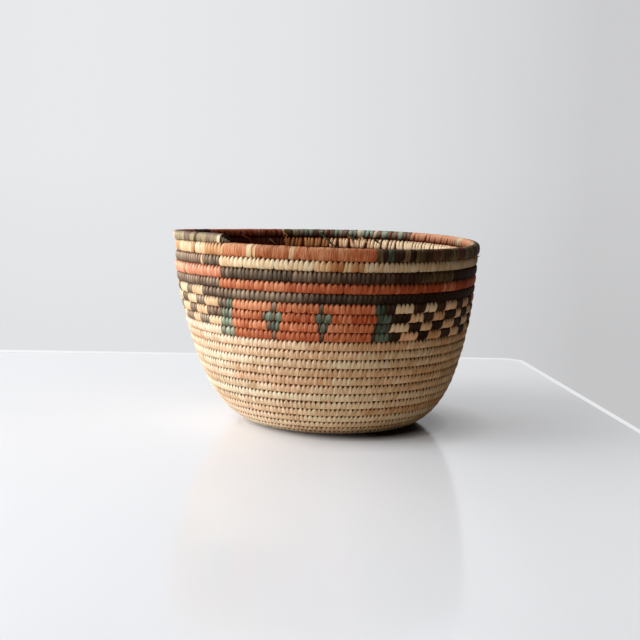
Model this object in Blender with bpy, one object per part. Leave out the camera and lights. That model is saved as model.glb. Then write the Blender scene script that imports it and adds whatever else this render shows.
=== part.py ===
"""Coiled basket: one long grass bundle, wound up in a spiral and wrapped all along in splint.

The coil starts at a knot in the middle of the base, winds out flat to the foot, then climbs the
wall as one spiral and ends on the rim. Each turn of the wall has a wrap of splint round the grass
bundle, in its own colour, and a turn with several colours has one wrap for each of them. The
bundle runs unbroken through the bores of all these wraps. Units are metres and +Z is up. The
basket stands on Z = 0, centred on the Z axis, with its front towards -Y.
"""
import math

import bmesh
import bpy
import numpy as np

MM = 0.001

# The bowl, measured to the middle of the coil
FOOT_RADIUS = 63.3 * MM  # the base is flat this far out
FOOT_REACH = 49.5 * MM  # how far the curve of the wall pulls out level from the foot
RIM_RADIUS = 129.5 * MM
WALL_HEIGHT = 159.2 * MM  # from the base up to the coil's end on the rim
RIM_PULL = 44.3 * MM  # how far the curve of the wall pulls down upright from the rim
LEAN = 8.7 * MM  # the rim stands this far to the left of the base
RIM_WARP = 1.3 * MM  # the rim is this much too high at the coil's end, too low a quarter turn on

# The coil
COIL_THICKNESS = 7.05 * MM
COIL_GAP = 0.5 * MM  # least gap between two turns
FLAT_SHARE = 0.1  # depth of the flats inside, outside and below, of the thickness
WRAP_THICKNESS = 0.9 * MM
BUNDLE_CLEARANCE = 0.3 * MM  # between the bundle and the wrap round it
END_GAP = 0.3 * MM  # between the ends of two wraps that follow each other
LOOP_POINTS = 24  # points on each turn

# The knot that the coil starts from, which fills the coil's first turn
KNOT_RADIUS = 3.4 * MM  # where the coil starts round it
KNOT_CLEARANCE = 0.3 * MM
KNOT_TOP_SHARE = 0.6  # radius of the knot's top, of its own radius
KNOT_SHOULDER_SHARE = 0.55  # height of the knot's shoulder, of the coil's height

# Where every row of the wall changes colour, on the front left, seen from above
JOG_ANGLE = math.radians(-132.0)

# Thickness of the turns below the rim, from the coil's end down, of the plain turns' thickness
RIM_THICKNESS_SHARES = (0.92, 1.29, 1.11, 1.22, 1.07, 1.07, 1.05, 1.02)

# Wraps of the rim row: where each starts, as a share of a turn past the jog, its name and colour
RIM_WRAP_SHARES = (
    (0.0, "rim_wrap_front_terracotta", "terracotta"),
    (0.165, "rim_wrap_right_dark", "dark"),
    (0.365, "rim_wrap_back_terracotta", "terracotta"),
    (0.505, "rim_wrap_back_striped", "teal"),
    (0.67, "rim_wrap_back_brown", "brown"),
    (0.775, "rim_wrap_left_dark", "dark"),
    (0.865, "rim_wrap_left_striped", "cream"),
    (0.985, "coil_end_binding", "dark"),
)

# The rows between the rim and the pattern, from the top down
BAND_ROWS = (
    ("cream_row_wrap", "cream"),
    ("upper_dark_row_wrap", "dark"),
    ("terracotta_row_wrap", "terracotta"),
    ("lower_dark_row_wrap", "dark"),
)

# The pattern: fields of terracotta and of checks, twice round, in each of its rows
PATTERN_ROWS = 4
PATTERN_WRAP_SHARES = (
    (0.0, "front_field", "terracotta"),
    (0.175, "right_checks", "cream"),
    (0.5, "back_field", "terracotta"),
    (0.675, "left_checks", "cream"),
)
NATURAL_ROWS = 14  # undyed rows below the pattern, down to the base

# Colours as the picture shows them, in 0 to 255
COLOURS = {
    "natural": (205, 172, 122),
    "cream": (226, 202, 156),
    "terracotta": (186, 98, 64),
    "dark": (70, 56, 46),
    "brown": (92, 54, 40),
    "teal": (84, 104, 90),
    "grass": (196, 176, 120),
}
SPLINT_ROUGHNESS = 0.6
GRASS_ROUGHNESS = 0.85
PROFILE_STEPS = 600
SMOOTH_ANGLE = math.radians(40.0)
GAP_STEPS = 4  # points measured along each straight of the coil


def clear_scene():
    """Remove every object that the scene starts with."""
    for item in list(bpy.data.objects):
        bpy.data.objects.remove(item, do_unlink=True)


def splint_material(name):
    """Principled material of one splint colour, or of the grass."""
    material = bpy.data.materials.get(name)
    if material is None:
        material = bpy.data.materials.new(name)
        material.use_nodes = True
        shader = material.node_tree.nodes["Principled BSDF"]
        linear = [(value / 255) ** 2.2 for value in COLOURS[name]]
        shader.inputs["Base Color"].default_value = (*linear, 1.0)
        rough = GRASS_ROUGHNESS if name == "grass" else SPLINT_ROUGHNESS
        shader.inputs["Roughness"].default_value = rough
        shader.inputs["Metallic"].default_value = 0.0
    return material


def wall_curve():
    """Radius and height of the coil's middle along the bowl: flat base, then one Bezier curve."""
    share = np.linspace(0, 1, PROFILE_STEPS)[:, None]
    base_height = COIL_THICKNESS * (0.5 - FLAT_SHARE)
    top = base_height + WALL_HEIGHT
    handles = np.array([(FOOT_RADIUS, base_height), (FOOT_RADIUS + FOOT_REACH, base_height),
                        (RIM_RADIUS, top - RIM_PULL), (RIM_RADIUS, top)])
    weights = np.hstack([(1 - share) ** 3, 3 * share * (1 - share) ** 2,
                         3 * share ** 2 * (1 - share), share ** 3])
    return np.vstack([[(0.0, base_height)], weights @ handles])


class Bowl:
    """The path that the coil follows from the middle of the base to the rim, by its length."""

    def __init__(self):
        self.points = wall_curve()
        steps = np.linalg.norm(np.diff(self.points, axis=0), axis=1)
        self.lengths = np.concatenate([[0.0], np.cumsum(steps)])
        self.length = self.lengths[-1]

    def at(self, distance):
        """Radius and height at a distance along the path."""
        return (np.interp(distance, self.lengths, self.points[:, 0]),
                np.interp(distance, self.lengths, self.points[:, 1]))

    def direction(self, distance):
        """Unit direction of the path at a distance along it."""
        near = COIL_THICKNESS / 2
        low = np.clip(distance - near, 0.0, self.length - near)
        radius, height = np.subtract(self.at(low + near), self.at(low))
        size = np.hypot(radius, height)
        return radius / size, height / size


class Coil:
    """The spiral: its turns, its thickness and its rings of points, LOOP_POINTS to a turn."""

    def __init__(self):
        self.bowl = Bowl()
        shares = list(RIM_THICKNESS_SHARES)
        end = shares[0] * COIL_THICKNESS
        start = KNOT_RADIUS + KNOT_CLEARANCE
        room = self.bowl.length + end / 2 - start
        plain = int((room - sum(shares) * COIL_THICKNESS - len(shares) * COIL_GAP)
                    // (COIL_THICKNESS + COIL_GAP))
        shares = [1.0] * plain + shares[::-1]
        self.gap = (room - sum(shares) * COIL_THICKNESS) / (len(shares) - 0.5)
        pitches = np.array(shares) * COIL_THICKNESS + self.gap
        self.edges = start + np.concatenate([[0.0], np.cumsum(pitches)])
        self.first_pitch = pitches[0]
        self.turns = len(shares) - 1
        self.foot_turn = self.turns - 1 - len(BAND_ROWS) - PATTERN_ROWS - NATURAL_ROWS
        stations = np.arange(self.turns * LOOP_POINTS + 1) / LOOP_POINTS
        self.angles = JOG_ANGLE + 2 * math.pi * stations
        inner = np.interp(stations, np.arange(len(self.edges)), self.edges)
        outer = np.interp(stations + 1, np.arange(len(self.edges)), self.edges)
        self.middle = (inner + outer) / 2
        self.thickness = outer - inner - self.gap
        self.bore_half = self.bore_half_side()
        self.shift = np.zeros(3)
        outline = self.outer_rings().reshape(-1, 3)
        self.shift[:2] = -(outline.min(axis=0) + outline.max(axis=0))[:2] / 2

    def rings(self, corners):
        """World points of a section all along the coil, from its (along wall, out) corners."""
        radius, height = self.bowl.at(self.middle)
        out, up = self.bowl.direction(self.middle)
        along, across = corners[..., 0], corners[..., 1]
        ring_radius = radius[:, None] + out[:, None] * along + up[:, None] * across
        ring_height = height[:, None] + up[:, None] * along - out[:, None] * across
        turn = self.angles[:, None]
        rise = ring_height / WALL_HEIGHT
        side = ring_radius * np.cos(turn) - LEAN * rise
        ring_height = ring_height + RIM_WARP * rise ** 2 * np.sin(2 * turn)
        points = np.stack([side, ring_radius * np.sin(turn), ring_height], axis=-1)
        return points + self.shift

    def outer_rings(self):
        """The wrap's six corners: ridges towards its neighbours, flats inside and outside."""
        half = self.thickness[:, None] / 2
        flat = half - FLAT_SHARE * self.thickness[:, None]
        shoulder = np.sqrt(half ** 2 - flat ** 2)
        along = np.hstack([half, shoulder, -shoulder, -half, -shoulder, shoulder])
        across = np.hstack([0 * half, flat, flat, 0 * half, -flat, -flat])
        return self.rings(np.stack([along, across], axis=-1))

    def bore_half_side(self):
        """Half the side of the square bore, whose corners lie WRAP_THICKNESS inside the wrap."""
        slant = math.asin(1 - 2 * FLAT_SHARE) / 2
        reach = self.thickness / 2 * math.cos(slant) - WRAP_THICKNESS
        return reach / (math.cos(slant) + math.sin(slant))

    def square_rings(self, half_side):
        """A square section, with a side along the wall."""
        side = half_side[:, None]
        along = np.hstack([side, -side, -side, side])
        across = np.hstack([side, side, -side, -side])
        return self.rings(np.stack([along, across], axis=-1))

    def turns_across(self, length, turn):
        """A length along the coil, in turns."""
        radius, _ = self.bowl.at(np.interp(turn, np.arange(len(self.middle)) / LOOP_POINTS,
                                           self.middle))
        return length / (2 * math.pi * radius)


def stretch(rings, start, end):
    """Rings of the coil between two turn counts, with cut ends on the tube's own flats."""
    first, last = start * LOOP_POINTS, end * LOOP_POINTS
    between = np.arange(math.floor(first) + 1, math.ceil(last))
    stations = np.concatenate([[first], between, [last]])
    low = np.minimum(stations.astype(int), len(rings) - 2)
    share = (stations - low)[:, None, None]
    return rings[low] * (1 - share) + rings[low + 1] * share


def least_gap(rings, start, end):
    """Least gap from turn to turn of a stretch of tube, measured between points on its edges."""
    stations = np.arange(start * LOOP_POINTS, end * LOOP_POINTS, 1 / GAP_STEPS)
    low = stations.astype(int)
    share = (stations - low)[:, None, None]
    points = rings[low] * (1 - share) + rings[low + 1] * share
    turn = LOOP_POINTS * GAP_STEPS
    least = math.inf
    for ahead in range(turn // 2, turn * 3 // 2):
        between = points[ahead:, :, None] - points[:-ahead, None, :]
        least = min(least, np.linalg.norm(between, axis=-1).min())
    return least


def ring_edges(mesh, rings):
    """Closed loops of edges, one for each ring of points."""
    loops = []
    for ring in rings:
        corners = [mesh.verts.new(point) for point in ring]
        loops.append([mesh.edges.new((corner, corners[place - 1]))
                      for place, corner in enumerate(corners)])
    return loops


def skin(mesh, loops):
    """Quads from each loop of edges to the next."""
    for near, far in zip(loops, loops[1:]):
        for near_edge, far_edge in zip(near, far):
            mesh.faces.new((*near_edge.verts, *reversed(far_edge.verts)))


def finish(name, mesh, material):
    """Turn a bmesh into a named object, smooth but for its true edges."""
    bmesh.ops.recalc_face_normals(mesh, faces=mesh.faces)
    data = bpy.data.meshes.new(name)
    mesh.to_mesh(data)
    mesh.free()
    data.shade_smooth()
    data.set_sharp_from_angle(angle=SMOOTH_ANGLE)
    data.materials.append(splint_material(material))
    item = bpy.data.objects.new(name, data)
    bpy.context.collection.objects.link(item)
    return item


def solid_tube(name, rings, material):
    """A tube filled right through, with flat ends."""
    mesh = bmesh.new()
    loops = ring_edges(mesh, rings)
    skin(mesh, loops)
    bmesh.ops.contextual_create(mesh, geom=loops[0])
    bmesh.ops.contextual_create(mesh, geom=loops[-1])
    return finish(name, mesh, material)


def sleeve(name, outer, bore, material):
    """A tube with a bore, open at both ends."""
    mesh = bmesh.new()
    outer_loops = ring_edges(mesh, outer)
    bore_loops = ring_edges(mesh, bore)
    skin(mesh, outer_loops)
    skin(mesh, bore_loops)
    bmesh.ops.triangle_fill(mesh, use_beauty=True, edges=outer_loops[0] + bore_loops[0])
    bmesh.ops.triangle_fill(mesh, use_beauty=True, edges=outer_loops[-1] + bore_loops[-1])
    return finish(name, mesh, material)


def start_knot(coil):
    """The knot in the middle of the base, which fills the first turn like a whorl, flat below."""
    height = COIL_THICKNESS * (1 - 2 * FLAT_SHARE)
    turn = coil.angles[:LOOP_POINTS]
    radius = coil.edges[0] - KNOT_CLEARANCE + coil.first_pitch * np.arange(LOOP_POINTS) / LOOP_POINTS
    levels = ((1.0, 0.0), (1.0, height * KNOT_SHOULDER_SHARE), (KNOT_TOP_SHARE, height))
    rings = [np.stack([share * radius * np.cos(turn), share * radius * np.sin(turn),
                       np.full(LOOP_POINTS, level)], axis=1) + coil.shift
             for share, level in levels]
    return solid_tube("start_knot", rings, "grass")


def wall_wraps(coil):
    """Names, colours and turn counts of the wraps of the wall, from the rim down."""
    rows = [RIM_WRAP_SHARES]
    rows += [((0.0, name, colour),) for name, colour in BAND_ROWS]
    for row in range(PATTERN_ROWS):
        rows.append([(share, f"pattern_row_{row + 1}_{name}", colour)
                     for share, name, colour in PATTERN_WRAP_SHARES])
    for row in range(NATURAL_ROWS):
        rows.append(((0.0, f"natural_row_{row + 1:02d}_wrap", "natural"),))
    for row, parts in enumerate(rows):
        turn = coil.turns - row - 1
        starts = [turn + share for share, _, _ in parts] + [turn + 1]
        for (_, name, colour), start, end in zip(parts, starts, starts[1:]):
            yield name, colour, start, end


def build():
    """Build every piece of the basket."""
    clear_scene()
    coil = Coil()
    outer = coil.outer_rings()
    bore = coil.square_rings(coil.bore_half)
    bundle = coil.square_rings(coil.bore_half - BUNDLE_CLEARANCE)
    start_knot(coil)
    foot, end = coil.foot_turn, coil.turns
    half_gap = coil.turns_across(END_GAP / 2, foot)
    solid_tube("base_coil", stretch(outer, 0, foot - half_gap), "natural")
    solid_tube("foundation_bundle", stretch(bundle, foot + half_gap, end), "grass")
    for name, colour, start, stop in wall_wraps(coil):
        low = start + coil.turns_across(END_GAP / 2, start)
        high = stop - (coil.turns_across(END_GAP / 2, stop) if stop < end else 0.0)
        sleeve(name, stretch(outer, low, high), stretch(bore, low, high), colour)
    print(f"turns {end}, on the base {foot}, gap between turns {coil.gap / MM:.2f} mm")
    tubes = (("base coil", outer, 0, foot), ("foundation bundle", bundle, foot, end),
             ("wall's wraps", outer, foot, end))
    for tube, rings, first, last in tubes:
        gap = least_gap(rings, first, last)
        print(f"least gap of the {tube} from turn to turn {gap / MM:.2f} mm")



build()
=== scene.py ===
"""The coiled basket with every stitch of splint in its place.

A grass bundle climbs in one spiral from a knot in the middle of the base to its end on the rim.
Each stitch is a strip of splint that goes once round the bundle: up the outside, over the top,
and slanting down the inside. Rows are counted from the rim down, and angles from the line on
the front left where every row changes colour, anticlockwise seen from above.
"""
import math
from functools import partial

import bpy
import numpy as np
from mathutils import Matrix


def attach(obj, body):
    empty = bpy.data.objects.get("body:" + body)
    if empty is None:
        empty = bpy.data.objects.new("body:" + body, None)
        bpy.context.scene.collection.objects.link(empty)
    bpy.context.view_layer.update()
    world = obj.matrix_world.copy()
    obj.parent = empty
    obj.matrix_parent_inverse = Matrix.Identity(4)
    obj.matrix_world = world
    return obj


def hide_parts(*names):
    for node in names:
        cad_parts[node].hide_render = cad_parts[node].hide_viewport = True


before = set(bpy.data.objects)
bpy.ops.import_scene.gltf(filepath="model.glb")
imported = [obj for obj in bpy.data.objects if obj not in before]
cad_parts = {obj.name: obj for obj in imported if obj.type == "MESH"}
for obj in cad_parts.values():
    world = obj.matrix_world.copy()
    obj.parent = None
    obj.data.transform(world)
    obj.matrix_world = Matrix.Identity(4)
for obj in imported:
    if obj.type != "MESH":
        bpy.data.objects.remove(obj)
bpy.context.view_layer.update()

MM = 0.001
SCENE = bpy.context.scene

# The bowl, measured to the middle of the coil, with the numbers that its solids are made from
FOOT_RADIUS = 63.3 * MM
FOOT_REACH = 49.5 * MM  # the handle of the wall's curve, level from the foot
RIM_RADIUS = 129.5 * MM
WALL_HEIGHT = 159.2 * MM
RIM_PULL = 44.3 * MM  # its other handle, straight down from the rim
LEAN = 8.7 * MM  # to the left, at the rim
RIM_WARP = 1.3 * MM
COIL_THICKNESS = 7.05 * MM
COIL_GAP = 0.5 * MM  # the least from turn to turn
FLAT_SHARE = 0.1  # of the coil's thickness, by which the base is flattened
COIL_START = 3.7 * MM  # from the middle of the base
JOG_ANGLE = math.radians(-132.0)  # of the line where rows change colour
RIM_THICKNESS_SHARES = (0.92, 1.29, 1.11, 1.22, 1.07, 1.07, 1.05, 1.02)  # from the rim down
BOWL_SHIFT = (8.573 * MM, 0.105 * MM)  # the bowl's axis, where the whole basket is centred

# The coil as it looks
PROFILE_POINTS = 600
STATIONS = 120  # to a turn, in the table of the coil's path
LEAST_RADIUS = 4 * MM  # what a turn's radius counts as at least, for its stitches
BASE_DEPTH = 0.355  # half the coil's depth through the base, over its thickness
WALL_DEPTH = 0.12  # more of it through the wall
DEPTH_RISE = 25 * MM  # of height, over which it grows, after a fifth of that
KNOT_TURNS = 0.7  # the coil starts this far inside its first turn
KNOT_GRASS = 0.2  # turns of that one which the knot's grass reaches into
TAIL_START = 0.006  # where the coil's end starts to taper, in turns from its last full turn
TAIL_LENGTH = 0.0115
TAIL_SHARE = 0.35  # the tip's thickness, of the coil's
OVERLAP = 1.11  # a stitch's height over the distance from row to row
LOW_OVERLAP = 0.04  # more of it on the lower rows
SQUARENESS = 2.7  # of a stitch seen from its side: 2 would be round
LOW_SQUARENESS = 0.5  # more of it on the lower rows
WAVER = 0.35 * MM  # how far the wall strays in and out
WAVER_RISE = 30 * MM  # the height up to which this grows
KNOTS_PER_TURN = 9  # of that straying
# Where single rows stand out or in: the row, the angle, how far to each side of it, how far in mm
BULGES = ((0, 108, 70, 2.2), (1, 318, 60, -2.8), (2, 318, 60, -1.4))

# One stitch, from its foot on the outside round to its foot on the inside, at these angles:
# nought is straight out and 90 degrees is up
ROUND = np.radians((-84, -70, -52, -28, 0, 15, 29, 41, 53, 68, 92, 125, 160, 195, 228, 256))
WIDTH = np.array((0.84, 1.0, 1.06, 1.06, 1.05, 0.98, 0.86, 0.73, 0.61, 0.52, 0.52, 0.68, 0.88,
                  0.97, 0.92, 0.7))
LOW_NARROWING = np.array((0, 0, 0, 0, 0, 0.05, 0.2, 0.18, 0.08, 0, 0, 0, 0, 0, 0, 0))
LOW_ROWS = (8, 15)  # between them that narrowing grows to its full amount
# How much of their drop a stitch's borders have at each angle
SINK = np.array((0.5, 0.14, 0.06, 0.05, 0.08, 0.2, 0.42, 0.7, 0.95, 1.1, 1.1, 1, 0.8, 0.7, 0.7,
                 0.8))
RIM_SINK = np.array((0.5, 0.14, 0.06, 0.05, 0.06, 0.14, 0.36, 0.65, 0.95, 1.2, 1.5, 2, 2.6, 3, 3,
                     3))
RIM_WIDTH = np.array((0.9, 1.0, 1.04, 1.05, 1.05, 1.05, 1.05, 1.05, 1.05, 1.04, 1.04, 1.02, 1.0,
                      0.94, 0.8, 0.55))
SLANT = np.array((-1.1, -0.95, -0.65, -0.3, 0.1, 0.3, 0.5, 0.7, 0.85, 1, 1.1, 1.2, 1.3, 1.4, 1.5,
                  1.6)) * MM  # how far the stitch has moved along the coil
SLANT_INSIDE = np.array((0,) * 11 + (0.5, 1.3, 2.2, 3.0, 3.7)) * MM  # and besides, inside
FOOT_PULL = np.array((1, 1, 0.7, 0.3, 0, 0, 0, 0, 0, 0, 0, 0, 0, 0, 0, 0))  # to a notch below
CREST_HIGHLIGHT = np.array((0, 0, 0, 0.08, 0.4, 0.75, 1, 1, 0.8, 0.5, 0.2, 0, 0, 0, 0, 0))  # painted highlight: how much the crest at each angle is lightened
# The rim's painted highlight, in the same way
RIM_CREST_HIGHLIGHT = np.array((0, 0, 0, 0, 0.1, 0.3, 0.5, 0.7, 0.9, 1, 1, 0.9, 0.6, 0.2, 0, 0))
# Painted shade at each angle: in the notches at a row's top, at its foot and down the inside; on
# the rim, most on its inner side
SHADE_IN = np.array((0.28, 0.06, 0, 0, 0, 0, 0, 0.03, 0.12, 0.32, 0.42, 0.15, 0, 0.05, 0.25, 0.8))
RIM_SHADE_IN = np.array((0.65, 0.35, 0.08, 0, 0, 0, 0, 0, 0, 0, 0.08, 0.16, 0.36, 0.75, 1, 1))
ACROSS = np.array((-1, -0.64, 0, 0.64, 1))
CROWN = np.array((0, 0.11, 0.19, 0.11, 0)) * MM  # a stitch's rise across its width
BORDER = np.array((-0.78, -0.06, 0, -0.06, -0.78)) * MM  # its borders' drop, where they sink most
RIM_CROWN = np.array((0, 0.03, 0.05, 0.03, 0)) * MM
RIM_BORDER = np.array((-0.16, -0.01, 0, -0.01, -0.16)) * MM
BORDER_SHADE = 0.1 + 0.4 * SINK  # painted shade: the lower they lie, the darker they are
RIM_BORDER_SHADE = 0.05 + 0.12 * RIM_SINK
# Darker on the rim's upper side, towards the coil's end
RIM_END_DARKENING = np.array((0.3, 0.15, 0.04, 0, 0, 0.08, 0.25, 0.45, 0.55, 0.6, 0.6, 0.5, 0.2, 0, 0, 0))
RIM_END_DARK_START = 0.88  # where it starts, in shares of the rim's turn: it goes on to the coil's end
TIP_START = 0.0085  # turns past the last full one, from which the tip is darker besides
TIP_DARKENING = 0.5
NOTCH_SLANT = 0.7 * MM  # how far on the notches between stitches are at a row's top
LIT_SIDE_ANGLE = math.radians(-160.0)  # painted light: the side that the lamps light, where the splint is painted paler
LIT_BEHIND, LIT_SPAN = 0.4, 1.3  # how far round it reaches, and over what run, as cosines
INSIDE_LIGHT = 2.2  # how much more painted light the inside gets there
MAP_UNIT = 10 * MM  # of the splint map
SECTION_RADIUS = 4 * MM  # for its lengths round the coil

# How stitches differ by chance
COIL_SEED, TILE_SEED, STITCH_SEED = 5, 11, 23
TILE_VARIETY = 0.16  # of a stitch's share of its band
WIDTH_RANGE = (0.95, 1.04)
CROWN_RANGE = (0.75, 1.25)
SLANT_VARIETY = 0.2
INSIDE_SLANT = 0.4  # the usual share of the slant inside
INSIDE_VARIETY = (0.45, 0.25)  # of that share, above the pattern and from there down
HEIGHT_VARIETY = 0.015
RIM_LEAN_VARIETY = 0.4 * MM
PULL_SHARE = 0.7  # of the way to the notch below, which a stitch's foot is pulled
STRAND_STITCHES = 13  # one strand of splint makes about so many

# Splint colours, by the letters that the rows use
T, D, C, G, N, B, O, S, A, R, P, M, F, H = (
    "terracotta", "dark", "cream", "teal", "natural", "brown", "olive", "sage", "tan", "rust",
    "coral", "mauve", "clay", "peach")
COLOURS = (T, D, C, G, N, B, O, S, A, R, P, M, F, H)
# How wide a row's stitches are, in mm, from the rim down
ROW_PITCH = (4.8, 3.95, 3.85, 4.4, 4.2, 4.1, 3.9, 3.9, 3.9) + (3.75,) * 8 + (3.6,) * 20
ROW_LEAD = (-3.2, -1.9, -2.4, -1.0, 1.35, 1.3, 0.6, 1.1, 2.1)  # degrees each row starts early

# One row's colours: the angle in degrees where each ends, its number of stitches where they are
# counted (else 0), and where they lean, how far in mm their upper ends stand further on
RIM_ROW = (
    (4.2, C, 1, 2.6), (9.0, F, 1, 2.0), (14.2, F, 1), (16.1, C, 1), (16.7, F, 1), (17.7, C, 1),
    (29.8, F), (31.5, N, 1), (50, F), (59.4, T), (61.4, O, 1), (63.4, D, 1), (65.6, G, 1),
    (67.6, D, 1), (69.7, D, 1), (71.8, O, 1), (74.2, D, 1), (75.4, S, 1), (77.8, O, 1),
    (79.6, D, 1), (82, O, 1), (84.5, B, 1), (89.7, O, 2), (91.8, O, 1), (93.1, S, 1), (96, O, 1),
    (100.2, B, 2), (102.4, S, 1), (108, O, 2), (113, D, 2), (119, O, 3), (132, D),
    (144, T, 0, -1.5), (146.5, A, 1, -2), (149, C, 1, -2.5), (152.5, A, 2, -2),
    (180.3, T, 0, -1.5), (184.8, B, 2, 1.5), (187.4, G, 1), (192, B, 2), (195, G, 1),
    (197.6, B, 1), (199.3, C, 1, -2.5), (204.3, G, 3, 1), (206.5, C, 1, 1.5), (210.5, G, 2),
    (213.4, B, 1, -1), (216.8, G, 2), (221.3, B, 2), (222.6, S, 1, 2.5), (224, G, 1, 3),
    (226.5, B, 1), (230.3, G, 2), (232.8, D, 1, -2), (236, S, 1), (239, D, 1, 1), (240.2, C, 1, 3),
    (251, R, 4), (251.6, C, 1, 3), (279, R, 9, 1), (291, B, 3), (311.4, R, 6), (319.5, O, 3),
    (326, N, 1, 1), (333, S, 2, 1), (340, S, 2, 1), (341, D, 1, 1), (344.1, M, 1, 1),
    (344.9, D, 1, 1), (347.9, S, 1, 1.5), (350, D, 1, 3), (355.6, S, 2, 2), (358, M, 1, 2),
    (361.2, S, 2, 1), (362.6, N, 1, 0.5), (363.6, D, 1, 1), (364.2, S, 1, 1), (366.4, D, 2, 1))
# The cream row: its brown on the back is partly painted shade, and its peach from the right round
# to the back partly painted light
CREAM_ROW = ((44, C), (48.3, A), (51, C), (55, A), (113, N), (130, C), (219, H), (240, A),
             (300, B), (333, A), (345, C), (347.2, A), (348.3, D, 1), (355, C), (360, A))
UPPER_DARK_ROW = ((77, D), (94, O), (351.6, D), (352.8, N, 1), (360, D))
TERRACOTTA_ROW = ((300, T), (360, P))
LOWER_DARK_ROW = ((360, D),)
BAND_ROWS = (RIM_ROW, CREAM_ROW, UPPER_DARK_ROW, TERRACOTTA_ROW, LOWER_DARK_ROW)
FIELD_ROWS = (
    ((3.0, D), (6.0, G), (22.1, T), (24.2, D), (39.3, T), (40.8, D), (59.3, T),
     (62.8, G), (66.9, D)),
    ((0.0, D, 1), (5.3, G, 3), (18.2, T), (19.5, D), (22.0, G), (23.2, D), (25.6, G), (37.7, T),
     (40.0, G), (41.1, D), (43.6, G), (59.8, T), (60.8, D), (65.6, G)),
    ((4.6, G, 3), (19.4, T), (21.2, D), (24.4, G), (38.6, T), (39.4, D), (41.2, G),
     (42.1, D), (58.8, T), (59.8, D), (65.4, G)),
    ((5.0, G, 3), (21.3, T), (22.9, D), (39.1, T), (40.6, D), (57.9, T), (59.3, D), (64.9, G)))
# A row's checks: the first one's colour and the angles where they change. On the left they are
# counted back from the end of the turn
RIGHT_CHECKS = ((C, 74.5, 80.0, 85.6, 90.8, 98.5, 103.9, 109.8),
                (D, 73.5, 79.4, 84.5, 90.9, 98.7, 103.2),
                (C, 73.0, 78.5, 84.1, 90.4, 98.2),
                (D, 69.7, 77.5, 82.6, 90.0, 96.2, 103.2))
LEFT_CHECKS = ((D, 350.4, 342.7, 337.7, 328.7), (C, 350.6, 344.7, 336.9, 329.2, 319.0),
               (D, 351.5, 344.0, 337.0, 327.0), (C, 351.6, 344.9, 339.3, 329.4))
CHECK_STEP = 6.6  # degrees, where they aren't seen
FIELD_TURN = 180.0  # the field and its checks come twice round
PATTERN_START, NATURAL_START = 5, 9  # rows from the rim down

# Where the solids of a row end, in shares of a turn. A row's last one takes all that is left
ROW_END = 1.5
RIM_NODES = ((0.165, "rim_wrap_front_terracotta"), (0.365, "rim_wrap_right_dark"),
             (0.505, "rim_wrap_back_terracotta"), (0.67, "rim_wrap_back_striped"),
             (0.775, "rim_wrap_back_brown"), (0.865, "rim_wrap_left_dark"),
             (0.985, "rim_wrap_left_striped"), (ROW_END, "coil_end_binding"))
PATTERN_NODES = ((0.175, "front_field"), (0.5, "right_checks"), (0.675, "back_field"),
                 (ROW_END, "left_checks"))
ROW_NODES = ("cream_row_wrap", "upper_dark_row_wrap", "terracotta_row_wrap",
             "lower_dark_row_wrap")
NATURAL_ROWS = 14

# The grass bundle
BUNDLE_STATIONS = 96  # to a turn
BUNDLE_LANES = 12
BUNDLE_CAP = np.array((  # four corners at a time, across those twelve
    (11, 2, 1, 0), (10, 3, 2, 11), (9, 4, 3, 10), (8, 5, 4, 9), (7, 6, 5, 8)))
BUNDLE_HEIGHT = 0.53  # half of it, over the distance from row to row
BUNDLE_INSET = 0.35 * MM  # how much less deep it is than the stitches
BUNDLE_SHADE = (0.45, 0.15)  # painted shade on the bundle: its middle, and how much less outside and more inside

# Loose ends of splint that lie over the rows: their path, width in mm and colour
LOOSE_POINTS = 13
LOOSE_RISE = 0.25 * MM  # half their thickness
LOOSE_TAPER = (1.15, 0.2)  # the length at which they would run out, and the tip's width
LOOSE = {
    "rim_wrap_back_striped": (
        (((224.0, 1.6, -4.1), (221.5, -4.2, -4.9), (218.4, -11.4, -4.7), (213.8, -13.4, -4.4)),
         2.3, G),
        (((211.5, -1.0, -4.3), (210, -5.0, -4.8), (208.6, -11.0, -4.6)), 1.3, A),
        (((205.5, -2.5, -4.4), (203.4, -5.4, -4.9), (202.0, -9.8, -4.6)), 1.3, C),
        (((212.5, 1.0, -4.2), (209.5, -3.0, -4.8), (206.5, -5.6, -4.9)), 2.0, G),
        (((199.5, -3.0, -4.4), (198.0, -6.0, -4.9), (196.5, -7.5, -4.9)), 2.4, D)),
    "rim_wrap_back_brown": (
        (((241.2, 2.4, -4.0), (239.4, -1.6, -5.2), (241.4, -9.0, -4.9)), 1.4, A),
        (((247.6, -5.2, -4.6), (246.0, -8.6, -4.9), (244.4, -11.2, -4.7)), 1.8, S),
        (((262.0, -1.0, -4.4), (258.5, -4.5, -4.9), (256.5, -9.5, -4.6)), 1.2, R),
        (((272.0, -1.5, -4.4), (268.0, -4.0, -4.9), (266.5, -9.0, -4.6)), 1.2, D)),
    "rim_wrap_right_dark": (
        (((118.0, -5.2, 2.0), (119.0, -5.4, 3.8), (120.0, -5.1, 5.0)), 0.9, S),),
}


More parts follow.
